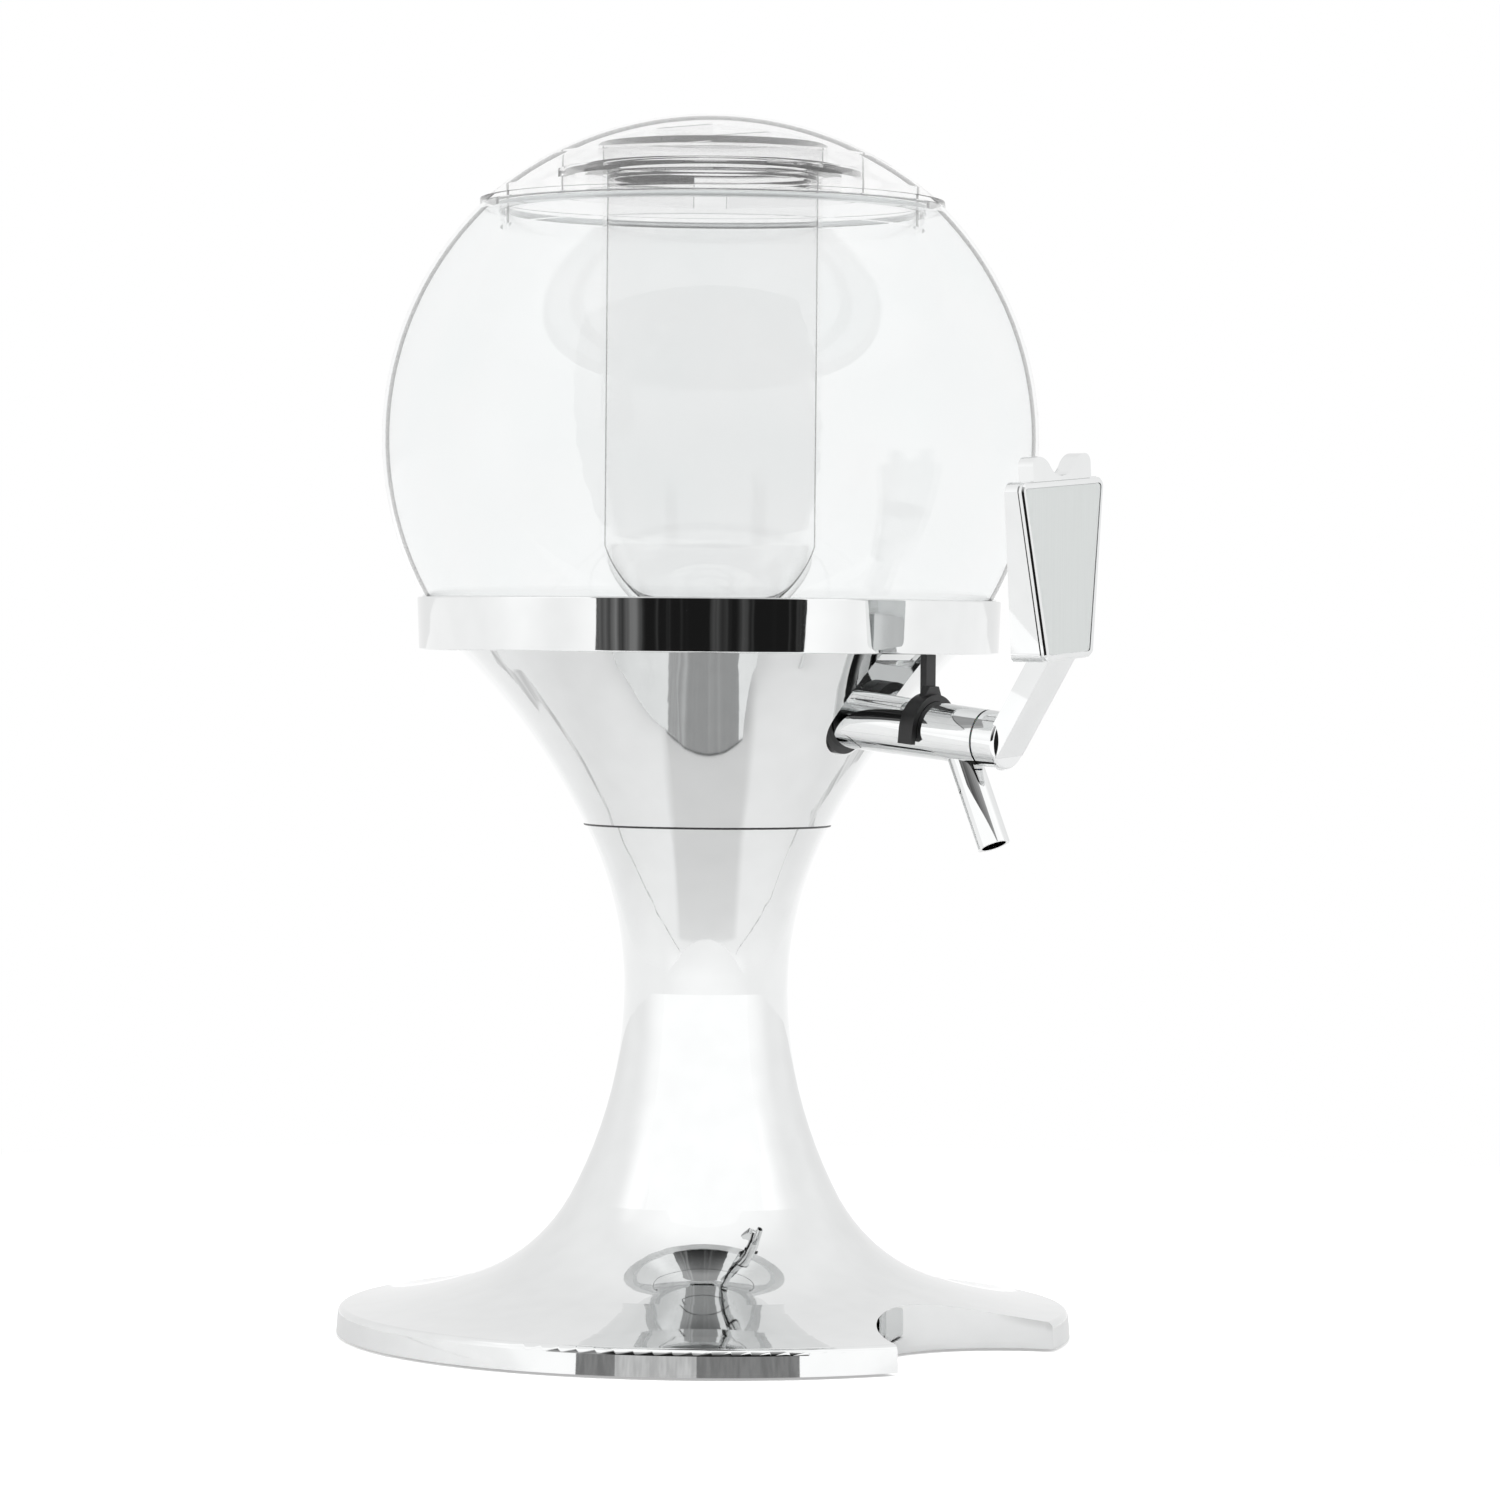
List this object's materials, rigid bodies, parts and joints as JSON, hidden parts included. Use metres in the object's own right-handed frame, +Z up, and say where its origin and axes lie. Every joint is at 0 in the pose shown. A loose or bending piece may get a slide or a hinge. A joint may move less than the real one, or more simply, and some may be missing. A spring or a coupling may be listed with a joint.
{
  "type": "globe beer dispenser",
  "caption": "Clear globe on a flared chromed stand, with a domed lid, a hanging ice tube, and a turning tap with a spout over a bay for the glass.",
  "frame": {"origin": "on the stand's axis, at table level under the foot", "axes": "+Z up along the stand's axis, -Y towards the tap and the bay for the glass, +X to the right of someone facing the back of the tap"},
  "size_m": [0.2528, 0.2827, 0.42],
  "materials": {
    "chrome_plate": "bright chrome plating on ABS",
    "satin_panel": "fine satin foil face",
    "black_abs": "moulded, fine grain",
    "black_rubber": "moulded rubber",
    "clear_styrene": "clear polystyrene moulding, polished",
    "clear_silicone": "translucent silicone",
    "white_nylon": "natural nylon",
    "steel_screw": "zinc plated"
  },
  "bodies": {
    "pedestal": {"pedestal_shell": "chrome_plate", "base_plate": "black_abs", "rubber_feet": "black_rubber", "base_screws": "steel_screw"},
    "upper_unit": {"funnel_shell": "chrome_plate", "collar_ring": "chrome_plate", "globe_seal": "black_rubber", "globe": "clear_styrene", "tap_grommet": "black_rubber", "tap_washer": "black_rubber", "tap_nut": "white_nylon", "tap_body": "chrome_plate", "support_clip": "black_abs"},
    "lid": {"lid": "clear_styrene", "lid_seal": "clear_silicone"},
    "ice_tube": {"ice_tube": "clear_styrene", "ice_tube_cap": "clear_styrene"},
    "tap_lever": {"valve_plug": "white_nylon", "valve_rings": "black_rubber", "handle_body": "chrome_plate", "handle_frame": "chrome_plate", "handle_panel": "satin_panel", "lever_arm": "chrome_plate"}
  },
  "joints": [
    {"name": "stand_pull", "type": "slide", "parent": "pedestal", "child": "upper_unit", "axis": [0, 0, 1], "range_m": [0, 0.04]},
    {"name": "lid_lift", "type": "slide", "parent": "upper_unit", "child": "lid", "axis": [0, 0, 1], "range_m": [0, 0.16]},
    {"name": "ice_tube_twist", "type": "hinge", "parent": "lid", "child": "ice_tube", "pos_m": [0, 0, 0.3992], "axis": [0, 0, 1], "range_deg": [0, 35]},
    {"name": "tap_turn", "type": "hinge", "parent": "upper_unit", "child": "tap_lever", "pos_m": [0, -0.061, 0.2136], "axis": [0, -0.9954, -0.0958], "range_deg": [-4.5, 85.5]}
  ]
}
